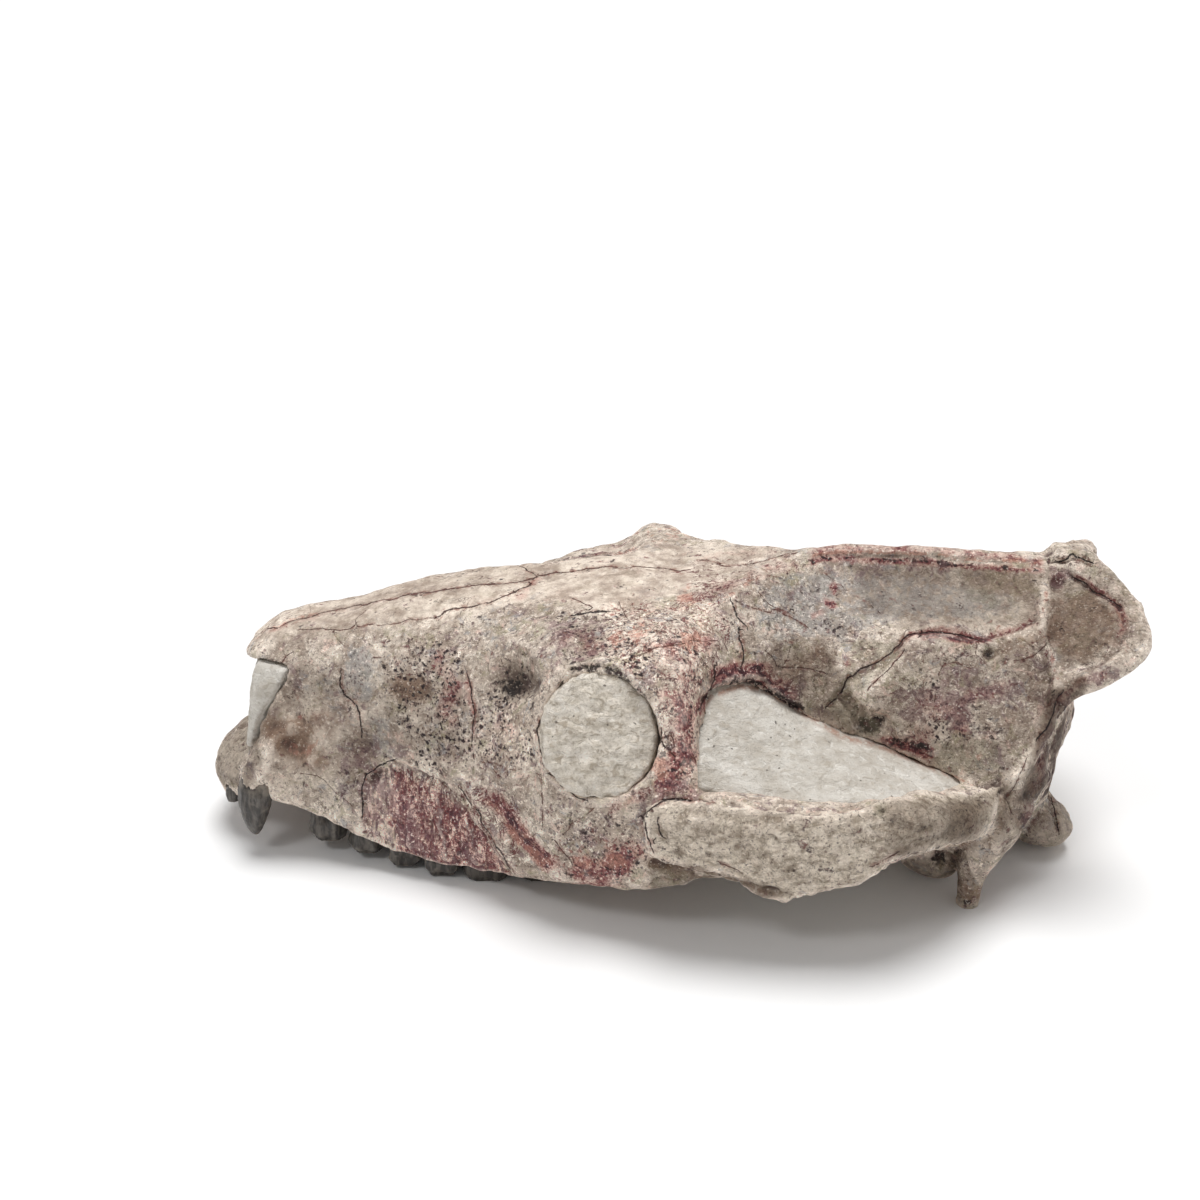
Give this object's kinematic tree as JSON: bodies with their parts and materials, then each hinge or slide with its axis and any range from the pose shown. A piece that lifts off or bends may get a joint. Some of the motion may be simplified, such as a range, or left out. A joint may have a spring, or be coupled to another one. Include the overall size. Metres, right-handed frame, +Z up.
{
  "type": "fossil oreodont skull",
  "caption": "Fossil skull of a sheep-sized hoofed mammal without its lower jaw, long low muzzle, round orbits and temporal openings filled with rock, flared neck crest, dark stubby teeth.",
  "frame": {"origin": "middle of the skull's box on the surface it stands on", "axes": "+X towards the back of the head, the nose points along -X; +Y towards the animal's right side, the left side faces -Y; +Z up as it stands"},
  "size_m": [0.2036, 0.121, 0.0684],
  "materials": {
    "bone": "matte, porous mineralised bone, beige-grey with red-purple and brown stains",
    "matrix": "rough cream sandstone-like rock",
    "enamel": "satin dark grey-brown fossil enamel"
  },
  "bodies": {
    "root": {"cranium": "bone", "matrix_fill_left": "matrix", "matrix_fill_right": "matrix", "matrix_nasal": "matrix", "canine_left": "enamel", "canine_right": "enamel", "incisor_left": "enamel", "incisor_right": "enamel", "premolar_1_left": "enamel", "premolar_2_left": "enamel", "premolar_3_left": "enamel", "premolar_4_left": "enamel", "molar_1_left": "enamel", "molar_2_left": "enamel", "molar_3_left": "enamel", "premolar_1_right": "enamel", "premolar_2_right": "enamel", "premolar_3_right": "enamel", "premolar_4_right": "enamel", "molar_1_right": "enamel", "molar_2_right": "enamel", "molar_3_right": "enamel"}
  },
  "joints": []
}
